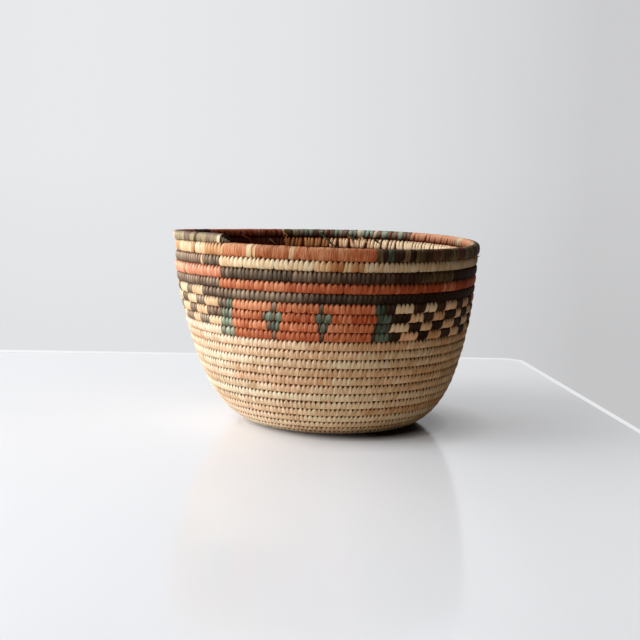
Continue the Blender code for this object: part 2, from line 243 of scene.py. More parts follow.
class Coil:
    """The spiral's path: radius, height, direction and thickness as tables over the turn count."""

    def __init__(self):
        share = np.linspace(0, 1, PROFILE_POINTS)[:, None]
        low = COIL_THICKNESS * (0.5 - FLAT_SHARE)
        top = low + WALL_HEIGHT
        handles = np.array([(FOOT_RADIUS, low), (FOOT_RADIUS + FOOT_REACH, low),
                            (RIM_RADIUS, top - RIM_PULL), (RIM_RADIUS, top)])
        weights = np.hstack([(1 - share) ** 3, 3 * share * (1 - share) ** 2,
                             3 * share ** 2 * (1 - share), share ** 3])
        self.points = np.vstack([[(0.0, low)], weights @ handles])
        steps = np.linalg.norm(np.diff(self.points, axis=0), axis=1)
        self.lengths = np.concatenate([[0.0], np.cumsum(steps)])
        shares = list(RIM_THICKNESS_SHARES)
        room = self.lengths[-1] + shares[0] * COIL_THICKNESS / 2 - COIL_START
        plain = int((room - sum(shares) * COIL_THICKNESS - len(shares) * COIL_GAP)
                    // (COIL_THICKNESS + COIL_GAP))
        shares = [1.0] * plain + shares[::-1]
        gap = (room - sum(shares) * COIL_THICKNESS) / (len(shares) - 0.5)
        pitches = np.array(shares) * COIL_THICKNESS + gap
        edges = COIL_START + np.concatenate([[-pitches[0], 0.0], np.cumsum(pitches)])
        counts = np.arange(-1, len(shares) + 1)
        self.turns = len(shares) - 1
        self.table = np.arange(-STATIONS, (self.turns + 0.1) * STATIONS) / STATIONS
        inner = np.interp(self.table, counts, edges)
        outer = np.interp(self.table + 1, counts, edges)
        tail = np.clip((self.table - self.turns - TAIL_START) / TAIL_LENGTH, 0, 1)
        shrink = 1 - (1 - TAIL_SHARE) * tail * tail * (3 - 2 * tail)
        self.pitch = (outer - inner) * shrink
        self.thickness = (outer - inner - gap) * shrink
        middle = inner + self.pitch / 2
        self.radius, self.height = self.along_bowl(middle)
        near = COIL_THICKNESS / 2
        first = np.clip(middle - near, 0.0, self.lengths[-1] - near)
        out, up = np.subtract(self.along_bowl(first + near), self.along_bowl(first))
        self.out, self.up = out / np.hypot(out, up), up / np.hypot(out, up)
        step = 2 * math.pi * np.maximum(self.radius, MM) / STATIONS
        self.run = np.cumsum(step) - step[0]
        rng = np.random.default_rng(COIL_SEED)
        knots = np.arange(-1, self.turns + 1.2, 1 / KNOTS_PER_TURN)
        sway = np.interp(self.table, knots, rng.normal(0, 0.5, len(knots)))
        kernel = np.hanning(STATIONS // 4)
        self.sway = WAVER * np.convolve(sway, kernel / kernel.sum(), mode="same")
        self.sway *= np.clip(self.height / WAVER_RISE, 0, 1)
        for row, angle, spread, shift in BULGES:
            far = (self.table - (self.turns - row - 1 + angle / 360)) * 360 / spread
            self.sway += shift * MM * np.cos(np.clip(far, -1, 1) * math.pi / 2) ** 2

    def along_bowl(self, distance):
        """Radius and height at a distance along the bowl's profile."""
        return np.array([np.interp(distance, self.lengths, self.points[:, 0]),
                         np.interp(distance, self.lengths, self.points[:, 1])])

    def at(self, name, turn):
        """One of the tables, read at any turn count."""
        return np.interp(turn, self.table, getattr(self, name))

    def place(self, turn, along, across):
        """World points beside the coil's middle: so far along the wall, upwards, and so far out
        of it. The bowl leans with its height, and its rim is warped twice round."""
        out, up = self.at("out", turn), self.at("up", turn)
        across = across + self.at("sway", turn)
        ring = self.at("radius", turn) + out * along + up * across
        height = self.at("height", turn) + up * along - out * across
        angle = JOG_ANGLE + 2 * math.pi * turn
        rise = height / WALL_HEIGHT
        return np.stack([ring * np.cos(angle) - LEAN * rise + BOWL_SHIFT[0],
                         ring * np.sin(angle) + BOWL_SHIFT[1],
                         height + RIM_WARP * rise ** 2 * np.sin(2 * angle)], axis=-1)

    def half_depth(self, turn):
        """Half the coil's thickness through the wall: full on the wall, less where it stands."""
        steep = np.clip(self.at("height", turn) / DEPTH_RISE - 0.2, 0, 1)
        share = BASE_DEPTH + WALL_DEPTH * steep
        return share * self.at("thickness", turn)


COIL = Coil()


def oval(angle, half_height, half_depth, square):
    """A section's point at an angle: sine and cosine to the power 2 / square, keeping their
    signs, times the section's half height and half depth."""
    power = 2 / square
    return (half_height * np.sign(np.sin(angle)) * np.abs(np.sin(angle)) ** power,
            half_depth * np.sign(np.cos(angle)) * np.abs(np.cos(angle)) ** power)


def check_edges(start, stop):
    """Angles past a start, up to a stop, about a check's step apart."""
    steps = max(1, round((stop - start) / CHECK_STEP))
    return list(np.linspace(start, stop, steps + 1)[1:])


def check_bands(field, right, left):
    """One pattern row's bands: the field and its checks, then both again half a turn on. Where
    checks aren't seen they go on at a fixed step, and the right ones' pale splint is peach."""
    other = {C: D, D: C}
    bands = list(field)
    for place, edge in enumerate(list(right[1:]) + check_edges(right[-1], FIELD_TURN)):
        dyed = other[right[0]] if place % 2 else right[0]
        bands.append((edge, H if dyed == C else dyed))
    bands += [(FIELD_TURN + band[0],) + band[1:] for band in field]
    edges = check_edges(bands[-1][0], left[-1])[:-1] + list(left[:0:-1]) + [2 * FIELD_TURN]
    for before_last, edge in zip(range(len(edges) - 1, -1, -1), edges):
        bands.append((edge, other[left[0]] if before_last % 2 else left[0]))
    return bands


def row_bands(row):
    """The colour bands of a row, counted from the rim down. Each row's last band goes on to where
    the row above it starts."""
    if row == 0:
        return RIM_ROW
    if row < PATTERN_START:
        bands = list(BAND_ROWS[row])
    elif row < NATURAL_START:
        place = row - PATTERN_START
        bands = check_bands(FIELD_ROWS[place], RIGHT_CHECKS[place], LEFT_CHECKS[place])
    else:
        bands = [(360.0, N)]
    lead = ROW_LEAD[row - 1] if row <= len(ROW_LEAD) else 0.0
    return bands[:-1] + [(bands[-1][0] - lead,) + bands[-1][1:]]


def lay_tiles():
    """Every stitch on the coil, from the knot up: where it starts and ends in turns, its colour,
    its row and its lean. Each band of colour takes the whole number of stitches nearest to its
    row's pitch."""
    rng = np.random.default_rng(TILE_SEED)
    tiles = []
    last = -KNOT_TURNS
    for row in range(COIL.turns, -1, -1):
        for band in row_bands(row):
            stop = COIL.turns - row - 1 + band[0] / 360
            run = COIL.at("run", np.array((last, stop)))
            count, lean = (band[2:] + (0, 0))[:2]
            count = count or max(1, round((run[1] - run[0]) / MM / ROW_PITCH[row]))
            steps = 1 + TILE_VARIETY * rng.uniform(-1, 1, count)
            marks = np.concatenate([[0], np.cumsum(steps)])
            marks = np.interp(run[0] + (run[1] - run[0]) * marks / marks[-1], COIL.run, COIL.table)
            fixed = np.full((3, count), [[COLOURS.index(band[1])], [row], [lean * MM]])
            tiles.append(np.vstack([marks[:-1], marks[1:], fixed]))
            last = stop
    start, end, colours, rows, lean = np.hstack(tiles)
    return start, end, colours.astype(int), rows.astype(int), lean


class Stitches:
    """Every stitch's own numbers, worked out once for the whole basket."""

    def __init__(self):
        rng = np.random.default_rng(STITCH_SEED)
        start, end, self.colour, self.row, self.lean = lay_tiles()
        count = len(start)
        self.turn = (start + end) / 2
        self.half = (end - start) / 2 * rng.uniform(*WIDTH_RANGE, count)
        radius = np.maximum(COIL.at("radius", self.turn), LEAST_RADIUS)
        self.per_length = 1 / (2 * math.pi * radius)  # turns to the metre
        self.slant = rng.normal(1, SLANT_VARIETY, count)
        spread = np.where(self.row < PATTERN_START, *INSIDE_VARIETY)
        self.slant_inside = INSIDE_SLANT + spread * rng.normal(0, 1, count)
        self.fat = rng.uniform(*CROWN_RANGE, count)
        self.tall = rng.normal(1, HEIGHT_VARIETY, count)
        self.rim = self.row == 0
        self.lean += np.where(self.rim, rng.normal(0, RIM_LEAN_VARIETY, count), 0.0)
        notches = end + NOTCH_SLANT * self.per_length
        below = self.turn - 1 + SLANT[0] * self.per_length
        near = np.clip(np.searchsorted(notches, below), 1, count - 1)
        near -= below - notches[near - 1] < notches[near] - below
        pull = np.clip(PULL_SHARE * (notches[near] - below), -self.half, self.half)
        self.pull = np.where(self.turn > 1, pull, 0.0)
        change = rng.random(count) < 1 / STRAND_STITCHES
        change |= np.diff(self.colour, prepend=-1) != 0
        strand = np.cumsum(change)
        tones = rng.random((strand[-1] + 1, 2))
        self.shade = np.stack([tones[strand, 0], rng.random(count), tones[strand, 1]], axis=1)

    def surface(self, chosen):
        """Points and tables of some stitches: each is a strip with its borders tucked in, laid
        round the coil's oval section while it moves on along the coil. The tables run over
        stitches, then the rings round the coil, then the lanes across the strip."""
        part = np.flatnonzero(chosen)

        def own(values):
            """The stitches' own values, shaped to meet their rings and lanes."""
            return values[part][:, None, None]

        rim = own(self.rim)
        spin = ROUND[:, None]
        low = np.clip((own(self.row) - LOW_ROWS[0]) / (LOW_ROWS[1] - LOW_ROWS[0]), 0, 1)
        width = WIDTH[:, None] - LOW_NARROWING[:, None] * low
        width = np.where(rim, RIM_WIDTH[:, None], width)
        arch = (np.where(rim, RIM_CROWN, CROWN) * own(self.fat)
                + np.where(rim, RIM_BORDER * RIM_SINK[:, None], BORDER * SINK[:, None]))
        moved = (SLANT[:, None] * own(self.per_length * self.slant)
                 + SLANT_INSIDE[:, None] * own(self.per_length * self.slant_inside))
        moved = moved + np.sin(spin) / 2 * own(self.per_length * self.lean)
        turn = (own(self.turn) + moved + FOOT_PULL[:, None] * own(self.pull)
                + ACROSS * width * own(self.half))
        centre = own(self.turn) + 0 * turn
        half_height = ((OVERLAP + LOW_OVERLAP * low) * COIL.at("pitch", centre) / 2
                       * own(self.tall))
        along, across = oval(spin + 0 * turn, half_height + arch,
                             COIL.half_depth(centre) + arch, SQUARENESS + LOW_SQUARENESS * low)
        points = COIL.place(turn, along, across)
        beside = ACROSS * width * own(self.half / self.per_length) / MAP_UNIT
        around = (spin - ROUND[0]) * SECTION_RADIUS / MAP_UNIT
        uv = np.stack([beside + 0 * turn, around + 0 * turn], axis=-1)
        tip = TIP_DARKENING * own(self.turn > COIL.turns + TIP_START)
        tip = tip + RIM_END_DARKENING[:, None] * own(self.turn > COIL.turns - 1 + RIM_END_DARK_START)
        crease_shade = np.where(rim, RIM_SHADE_IN[:, None], SHADE_IN[:, None]) + tip
        border_shade = np.where(rim, RIM_BORDER_SHADE[:, None], BORDER_SHADE[:, None])
        crease_shade = np.clip(crease_shade + border_shade * ACROSS ** 4, 0, 1)
        side = np.cos(JOG_ANGLE + 2 * math.pi * turn - LIT_SIDE_ANGLE)
        lit_side = np.clip((side * np.cos(spin) + LIT_BEHIND) / LIT_SPAN, 0, 1) ** 2
        lit_side = lit_side * (1 + INSIDE_LIGHT * np.clip(-np.cos(spin), 0, 1))
        highlight = np.where(rim, RIM_CREST_HIGHLIGHT[:, None], CREST_HIGHLIGHT[:, None] * (1 - ACROSS ** 2))
        # The painted light and shade: darker in the creases, paler on the lit side and on the
        # crests
        painted_light_shade = np.stack([crease_shade + 0 * turn, lit_side, highlight + 0 * turn], axis=-1)
        shade = np.broadcast_to(self.shade[part][:, None, None, :], points.shape)
        number = np.arange(turn.size).reshape(turn.shape)
        quads = np.stack([number[:, :-1, :-1], number[:, :-1, 1:], number[:, 1:, 1:],
                          number[:, 1:, :-1]], axis=-1)
        slots = np.repeat(self.colour[part], (len(ROUND) - 1) * (len(ACROSS) - 1))
        return (points.reshape(-1, 3), quads.reshape(-1, 4), uv.reshape(-1, 2),
                shade.reshape(-1, 3), painted_light_shade.reshape(-1, 3), slots)


def loose_splint(path, width, splint):
    """A thin strip of splint that lies over the rows: it goes through points given as the angle
    past the jog, the height over the rim coil's middle and the distance out from it, in mm."""
    turn = COIL.turns - 1 + np.array([place[0] for place in path]) / 360
    up, out = (np.array([place[k] for place in path]) * MM for k in (1, 2))
    fine = np.linspace(0, 1, LOOSE_POINTS)
    knots = np.linspace(0, 1, len(path))
    turn, up, out = (np.interp(fine, knots, values) for values in (turn, up, out))
    middle = COIL.place(turn, up, out)
    along = np.gradient(middle, axis=0)
    along /= np.linalg.norm(along, axis=1)[:, None]
    angle = JOG_ANGLE + 2 * math.pi * turn
    face = np.stack([np.cos(angle), np.sin(angle), 0 * angle], axis=-1)
    face *= math.copysign(1, out[0])
    side = np.cross(along, face)
    side /= np.linalg.norm(side, axis=1)[:, None]
    taper = (width * MM / 2 * np.clip(LOOSE_TAPER[0] - fine, LOOSE_TAPER[1], 1))[:, None]
    lift = LOOSE_RISE * face
    points = np.stack([middle - side * taper, middle + lift, middle + side * taper,
                       middle - lift], axis=1)
    lane = np.arange(4)
    caps = [(0, 1, 2, 3), tuple(4 * (LOOSE_POINTS - 1) + lane[::-1])]
    quads = np.concatenate([tube_quads(LOOSE_POINTS, 4), caps])
    count = 4 * LOOSE_POINTS
    uv = np.stack([np.tile(lane * 0.05, LOOSE_POINTS), np.repeat(fine, 4) * 2], axis=-1)
    # A little painted light, the same all along
    painted_light_shade = np.broadcast_to((0.0, 0.1, 0.0), (count, 3))
    return (points.reshape(-1, 3), quads, uv, np.full((count, 3), 0.5), painted_light_shade,
            np.full(len(quads), COLOURS.index(splint)))


def tube_quads(rings, lanes):
    """The sides of a tube of rings, with so many corners to a ring."""
    first = np.arange(rings - 1)[:, None] * lanes
    lane = np.arange(lanes)
    after = (lane + 1) % lanes
    quads = np.stack([first + lane, first + lanes + lane, first + lanes + after, first + after],
                     axis=-1)
    return quads.reshape(-1, 4)


def bundle_surface(start, end):
    """The grass bundle under the stitches from one turn count to another, closed at both ends: an
    oval section carried along the coil, a little less deep than the stitches on it."""
    inner = np.arange(math.ceil(start * BUNDLE_STATIONS), math.floor(end * BUNDLE_STATIONS) + 1)
    turn = np.concatenate([[start], inner / BUNDLE_STATIONS, [end]])[:, None]
    spin = np.arange(BUNDLE_LANES) * 2 * math.pi / BUNDLE_LANES + 0 * turn
    pitch = COIL.at("pitch", turn)
    along, across = oval(spin, pitch * BUNDLE_HEIGHT,
                         COIL.half_depth(turn) - BUNDLE_INSET * pitch / COIL_THICKNESS, 2.0)
    points = COIL.place(turn + 0 * spin, along, across)
    rings = len(turn)
    quads = np.concatenate([tube_quads(rings, BUNDLE_LANES), BUNDLE_CAP,
                            (rings - 1) * BUNDLE_LANES + BUNDLE_CAP[:, ::-1]])
    lane = np.arange(BUNDLE_LANES)
    uv = np.stack([lane / BUNDLE_LANES * 2 + 0 * turn, COIL.at("run", turn) / MAP_UNIT + 0 * spin],
                  axis=-1)
    crease_shade = BUNDLE_SHADE[0] - BUNDLE_SHADE[1] * np.cos(spin)
    painted_light_shade = np.stack([crease_shade, 0 * crease_shade, 0 * crease_shade], axis=-1)
    return (points.reshape(-1, 3), quads, uv.reshape(-1, 2),
            np.full((rings * BUNDLE_LANES, 3), 0.5), painted_light_shade.reshape(-1, 3),
            np.full(len(quads), GRASS_SLOT))


def add_object(name, data):
    """A new object in the scene."""
    item = bpy.data.objects.new(name, data)
    SCENE.collection.objects.link(item)
    return item


def make_piece(name, parts, materials):
    """One mesh object from lists of points and quads, with its splint map and shade tables."""
    offsets = np.cumsum([0] + [len(part[0]) for part in parts])
    quads = np.concatenate([part[1] + offset for part, offset in zip(parts, offsets)])
    points, uv, shade, painted_light_shade = (np.concatenate([part[k] for part in parts]) for k in (0, 2, 3, 4))
    slots = np.concatenate([part[5] for part in parts])
    used, slots = np.unique(slots, return_inverse=True)
    mesh = bpy.data.meshes.new(name)
    mesh.vertices.add(len(points))
    mesh.vertices.foreach_set("co", points.astype(np.float32).ravel())
    mesh.loops.add(quads.size)
    mesh.loops.foreach_set("vertex_index", quads.astype(np.int32).ravel())
    mesh.polygons.add(len(quads))
    mesh.polygons.foreach_set("loop_start", np.arange(len(quads), dtype=np.int32) * 4)
    mesh.polygons.foreach_set("material_index", slots.astype(np.int32).ravel())
    mesh.update(calc_edges=True)
    layer = mesh.uv_layers.new(name="splint")
    layer.uv.foreach_set("vector", uv[quads.ravel()].astype(np.float32).ravel())
    for title, values in (("shade", shade), ("painted_light_shade", painted_light_shade)):
        mesh.attributes.new(title, "FLOAT_VECTOR", "POINT").data.foreach_set(
            "vector", values.astype(np.float32).ravel())
    mesh.shade_smooth()
    for number in used:
        mesh.materials.append(materials[number])
    return add_object(name, mesh)


def colour(red, green, blue):
    """A colour from 0 to 255 as the shader's linear numbers."""
    values = np.array((red, green, blue)) / 255
    linear = np.where(values <= 0.04045, values / 12.92, ((values + 0.055) / 1.055) ** 2.4)
    return (*(float(value) for value in linear), 1.0)


def wire(tree, *pairs):
    """Link each output to each input, given in turn."""
    for output, socket in zip(pairs[::2], pairs[1::2]):
        tree.links.new(output, socket)


def feed(tree, value, socket):
    """Link an output to an input, or set the input to a plain value."""
    if isinstance(value, (int, float, tuple)):
        socket.default_value = value
    else:
        tree.links.new(value, socket)


def math_node(tree, operation, *values, clamp=False):
    """A math node's result for sockets or plain numbers."""
    node = tree.nodes.new("ShaderNodeMath")
    node.operation, node.use_clamp = operation, clamp
    for socket, value in zip(node.inputs, values):
        feed(tree, value, socket)
    return node.outputs[0]


def mix_colours(tree, factor, first, second, blend="MIX"):
    """A mix of two colours."""
    node = tree.nodes.new("ShaderNodeMix")
    node.data_type, node.blend_type = "RGBA", blend
    feed(tree, factor, node.inputs["Factor"])
    feed(tree, first, node.inputs[6])
    feed(tree, second, node.inputs[7])
    return node.outputs[2]


def three_parts(tree, vector):
    """A vector socket's three parts."""
    split = tree.nodes.new("ShaderNodeSeparateXYZ")
    tree.links.new(vector, split.inputs[0])
    return split.outputs


def attribute_parts(tree, name):
    """The three parts of one of the mesh's tables."""
    table = tree.nodes.new("ShaderNodeAttribute")
    table.attribute_name = name
    return three_parts(tree, table.outputs["Vector"])


def object_parts(tree):
    """How far a point lies to the right, away and up, in metres."""
    return three_parts(tree, tree.nodes.new("ShaderNodeTexCoord").outputs["Object"])


def noise(tree, place, scale, detail):
    """A noise texture's value at a place."""
    node = tree.nodes.new("ShaderNodeTexNoise")
    node.inputs["Scale"].default_value, node.inputs["Detail"].default_value = scale, detail
    tree.links.new(place, node.inputs["Vector"])
    return node.outputs["Fac"]


def splint_group():
    """Group that colours one splint. Its strand's and its own tone mix the deep, middle and pale
    colours, and fibres run along it as streaks and fine ridges. Painted light makes it paler on
    the lit side and painted highlights lighten its crests; it is darkened in its creases, mostly
    by painted shade."""
    tree = bpy.data.node_groups.new("splint fibres", "ShaderNodeTree")
    calc = partial(math_node, tree)
    for name in ("Deep", "Middle", "Pale", "Crease shade", "Lit colour"):
        tree.interface.new_socket(name, in_out="INPUT", socket_type="NodeSocketColor")
    for name in ("Lit share", "Variety", "Streaks", "Roughness"):
        tree.interface.new_socket(name, in_out="INPUT", socket_type="NodeSocketFloat")
    tree.interface.new_socket("Colour", in_out="OUTPUT", socket_type="NodeSocketColor")
    for name in ("Roughness", "Height"):
        tree.interface.new_socket(name, in_out="OUTPUT", socket_type="NodeSocketFloat")
    given = tree.nodes.new("NodeGroupInput").outputs
    result = tree.nodes.new("NodeGroupOutput").inputs
    strand, own, hue = attribute_parts(tree, "shade")
    crease_shade, lit_side, highlight = attribute_parts(tree, "painted_light_shade")
    place = tree.nodes.new("ShaderNodeUVMap")
    place.uv_map = "splint"
    across, along, _ = three_parts(tree, place.outputs[0])
    grain = tree.nodes.new("ShaderNodeCombineXYZ")
    wire(tree, calc("MULTIPLY", across, GRAIN_ACROSS), grain.inputs[0],
         calc("MULTIPLY", along, GRAIN_ALONG), grain.inputs[1],
         calc("MULTIPLY", own, GRAIN_STEP), grain.inputs[2])
    fibres = noise(tree, grain.outputs[0], 1.0, 3.0)
    streak = calc("SUBTRACT", fibres, 0.5)
    cloud = calc("SUBTRACT", noise(tree, grain.outputs[0], 0.12, 2.0), 0.5)
    tone = calc("ADD", calc("MULTIPLY", strand, STRAND_SHARE),
                calc("MULTIPLY", own, 1 - STRAND_SHARE))
    tone = calc("MULTIPLY", calc("SUBTRACT", tone, 0.5), given["Variety"])
    level = calc("ADD", calc("ADD", tone, 0.5), calc("MULTIPLY", streak, given["Streaks"]))
    level = calc("ADD", level, calc("MULTIPLY", cloud, 0.5))
    low = calc("MULTIPLY", level, 2.0, clamp=True)
    high = calc("SUBTRACT", calc("MULTIPLY", level, 2.0), 1.0, clamp=True)
    shade = mix_colours(tree, low, given["Deep"], given["Middle"])
    shade = mix_colours(tree, high, shade, given["Pale"])
    hues = mix_colours(tree, hue, WARM_HUE, COOL_HUE)
    highlighted = calc("MULTIPLY", highlight, calc("ADD", calc("MULTIPLY", lit_side, LIT_HIGHLIGHT), UNLIT_HIGHLIGHT))
    lighten = calc("ADD", calc("MULTIPLY", lit_side, given["Lit share"]), highlighted)
    lighten = calc("MULTIPLY", lighten, calc("ADD", 0.5, level), clamp=True)
    shade = mix_colours(tree, lighten, shade, given["Lit colour"])
    shade = mix_colours(tree, 1.0, shade, hues, "MULTIPLY")
    shade = mix_colours(tree, crease_shade, shade, given["Crease shade"])
    rough = calc("ADD", given["Roughness"], calc("MULTIPLY", streak, ROUGH_STREAKS), clamp=True)
    wire(tree, shade, result["Colour"], rough, result["Roughness"], fibres, result["Height"])
    return tree


def new_material(name):
    """A material with nodes, and its node tree."""
    material = bpy.data.materials.new(name)
    material.use_nodes = True
    return material, material.node_tree


def splint_material(name, group, *values):
    """One splint colour: the fibre group's colour, roughness and ridges on a plain shader. The
    values go to the group's inputs, in their order."""
    material, tree = new_material(name)
    shader = tree.nodes["Principled BSDF"]
    effect = tree.nodes.new("ShaderNodeGroup")
    effect.node_tree = group
    for socket, value in zip(effect.inputs, values):
        socket.default_value = colour(*value) if isinstance(value, tuple) else value
    bump = tree.nodes.new("ShaderNodeBump")
    bump.inputs["Strength"].default_value = 0.5
    bump.inputs["Distance"].default_value = FIBRE_HEIGHT
    wire(tree, effect.outputs["Colour"], shader.inputs["Base Color"],
         effect.outputs["Roughness"], shader.inputs["Roughness"],
         effect.outputs["Height"], bump.inputs["Height"], bump.outputs["Normal"],
         shader.inputs["Normal"])
    shader.inputs["Specular IOR Level"].default_value = 0.02
    return material


# The splint's fibres and tones
GRAIN_ACROSS, GRAIN_ALONG = 16, 1.6  # to the splint map's unit
GRAIN_STEP = 90  # how far apart two stitches lie in the fibres' noise
FIBRE_HEIGHT = 0.12 * MM
STRAND_SHARE = 0.66  # of a stitch's tone that its strand gives
WARM_HUE, COOL_HUE = (1.05, 0.96, 0.9, 1.0), (0.975, 1.01, 0.965, 1.0)
LIT_HIGHLIGHT, UNLIT_HIGHLIGHT = 0.75, 0.06  # painted highlight on the crests: how strong on the lit side, and away from it
ROUGH_STREAKS = 0.35

FIBRES = splint_group()
SPLINT_COLOURS = {  # deep, middle, pale, painted shade, painted light, then its share, variety, streaks, roughness
    T: ((154, 60, 31), (191, 97, 58), (216, 141, 102), (88, 20, 6), (242, 182, 146),
        0.18, 1.0, 2.2, 0.5),
    F: ((138, 67, 38), (184, 102, 62), (210, 144, 103), (84, 26, 9), (232, 192, 158),
        0.15, 0.9, 2.8, 0.5),
    H: ((214, 152, 104), (242, 190, 142), (255, 224, 186), (110, 40, 20), (255, 228, 194),
        0.5, 1.1, 2.2, 0.5),
    D: ((27, 12, 5), (46, 27, 16), (78, 54, 40), (8, 3, 2), (206, 180, 158),
        0.19, 1.0, 2.0, 0.6),
    C: ((200, 153, 104), (221, 184, 138), (238, 214, 178), (90, 48, 22), (246, 228, 202),
        0.2, 0.9, 2.4, 0.5),
    G: ((40, 48, 36), (68, 77, 60), (106, 118, 98), (14, 13, 8), (190, 202, 184),
        0.18, 1.0, 2.0, 0.5),
    N: ((190, 142, 97), (218, 180, 137), (240, 215, 180), (98, 54, 27), (251, 239, 221),
        0.33, 0.95, 2.6, 0.5),
    B: ((50, 21, 14), (80, 39, 28), (118, 74, 58), (18, 7, 4), (176, 144, 130),
        0.14, 1.0, 1.4, 0.5),
    O: ((60, 42, 24), (95, 72, 46), (130, 106, 75), (14, 9, 4), (196, 178, 146),
        0.2, 1.0, 2.6, 0.6),
    S: ((94, 84, 60), (132, 120, 92), (172, 160, 130), (30, 23, 13), (208, 194, 166),
        0.12, 1.1, 2.6, 0.5),
    A: ((158, 96, 54), (184, 122, 76), (208, 154, 106), (84, 40, 18), (234, 198, 160),
        0.12, 1.0, 1.8, 0.5),
    R: ((126, 50, 33), (180, 86, 60), (220, 136, 106), (34, 10, 6), (236, 172, 146),
        0.26, 1.0, 2.2, 0.5),
    P: ((172, 84, 50), (204, 122, 84), (226, 166, 130), (96, 28, 11), (248, 206, 182),
        0.22, 1.0, 2.2, 0.5),
    M: ((88, 66, 58), (124, 100, 90), (160, 138, 126), (28, 16, 10), (196, 180, 168),
        0.14, 1.0, 2.2, 0.5),
}
# The bundle's grass: its own colour painted darker and redder, as shade and the light thrown off
# the dyed splint make it look in the notches
SHADED_GRASS = ((90, 42, 20), (120, 60, 32), (146, 84, 50), (38, 15, 7), (120, 60, 32), 0.0, 0.5,
         1.0, 0.85)
MATERIALS = [splint_material(f"{key} splint", FIBRES, *SPLINT_COLOURS[key]) for key in COLOURS]
MATERIALS.append(splint_material("foundation grass", FIBRES, *SHADED_GRASS))
GRASS_SLOT = len(COLOURS)

# The table, seen far off and near the basket, where it is painted cooler against the warm light
# thrown from the basket, and as the light that it throws back
TABLE_SHADE, TABLE_NEAR_COOLED, TABLE_BOUNCE = (222, 224, 228), (217, 223, 231), (246, 242, 236)
# A painted shadow, dark where the basket stands on the table
PAINTED_CONTACT_SHADOW = (34, 28, 24)
STAND = 20 * MM  # the foot's middle, to the right
# Where they start, from the foot's middle, and how much further on they are full: the painted
# glow goes outwards, the painted cooler tint and the painted shadow at the foot inwards
CLEAR, NEAR, CONTACT = (60 * MM, 75 * MM), (260 * MM, 170 * MM), (96 * MM, 22 * MM)
CONTACT_SIDE = (0.52, 10.0)  # that painted shadow in the middle, and how fast it grows to the right
SIDE_GAIN = 8.0  # how fast an effect at the left or in front grows, by the metre
# Painted light: how much the table glows for the camera, and how that changes
GLOW = 0.175
GLOW_RIGHT, GLOW_FRONT, GLOW_BACK = 0.3, 0.1, 0.14  # by the metre
GLOW_LEFT, GLOW_AHEAD = 0.015, 0.06
AHEAD = (12 * MM, 115 * MM)  # the middle of the strip before the basket, and half its width
TABLE_TOP = ((-1.1, -0.75, 0), (0.352, -0.75, 0), (0.2455, 0.379, 0), (0.228, 0.3925, 0),
             (-1.1, 0.302, 0))
ROOM_SHADE = (222, 223, 225)
# The wall's painted shade
WALL_SHADES = (233, 234, 236), (190, 190, 191)  # from the left to the right
WALL_PLACE = 0.26  # between those two, in the middle
WALL_SLOPE, WALL_BEND = 0.93, 0.9  # by the metre, and by its square
WALL_SIDE, WALL_LOW = 0.7, 0.16  # what the way across and the way down count for
LOW_START, LOW_RUN = 0.25, 0.35  # metres: the height where it darkens downwards, and how far
# The painted highlight along the table's edge
EDGE_HIGHLIGHT_SHADES = (247, 248, 249), (232, 233, 234)
EDGE_PLACE, EDGE_SLOPE = 0.5, 1.5
EDGE_RISE = 0.1 * MM
EDGE_WIDTH = ((0, -0.03, 0), (-0.004, -0.013, 0), (-0.006, -0.008, 0), (-0.006, 0, 0))


def dress(name, node, parts):
    """Make a piece and let it stand for its solid."""
    piece = make_piece(name, parts, MATERIALS)
    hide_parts(node)
    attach(piece, "root")


def dress_basket():
    """All of the basket's pieces, one for each solid."""
    stitches = Stitches()
    foot = COIL.turns - NATURAL_START - NATURAL_ROWS
    dress("foundation_grass", "foundation_bundle",
          [bundle_surface(foot, COIL.turns + TAIL_START + TAIL_LENGTH / 2)])
    dress("start_whorl", "start_knot",
          [bundle_surface(-KNOT_TURNS, KNOT_GRASS), stitches.surface(stitches.turn < 0)])
    dress("base_splints", "base_coil",
          [bundle_surface(0, foot),
           stitches.surface((stitches.turn > 0) & (stitches.row >= COIL.turns - foot))])
    for row in range(NATURAL_START + NATURAL_ROWS):
        first = COIL.turns - row - 1
        if row == 0:
            nodes = RIM_NODES
        elif row < PATTERN_START:
            nodes = ((ROW_END, ROW_NODES[row - 1]),)
        elif row < NATURAL_START:
            nodes = tuple((share, f"pattern_row_{row - PATTERN_START + 1}_{name}")
                          for share, name in PATTERN_NODES)
        else:
            nodes = ((ROW_END, f"natural_row_{row - NATURAL_START + 1:02d}_wrap"),)
        begin = 1 - ROW_END
        for share, node in nodes:
            chosen = ((stitches.row == row) & (stitches.turn >= first + begin)
                      & (stitches.turn < first + share))
            common = COLOURS[np.bincount(stitches.colour[chosen]).argmax()]
            name = node.replace("_wrap", "_splints") if "wrap" in node else node + "_splints"
            loose = [loose_splint(*splint) for splint in LOOSE.get(node, ())]
            dress(name, node, [stitches.surface(chosen)] + loose)
            begin = share


def fall(calc, value, start, span):
    """How far a value is short of a start, over a span, from nought to one."""
    return calc("DIVIDE", calc("SUBTRACT", start, value), span, clamp=True)


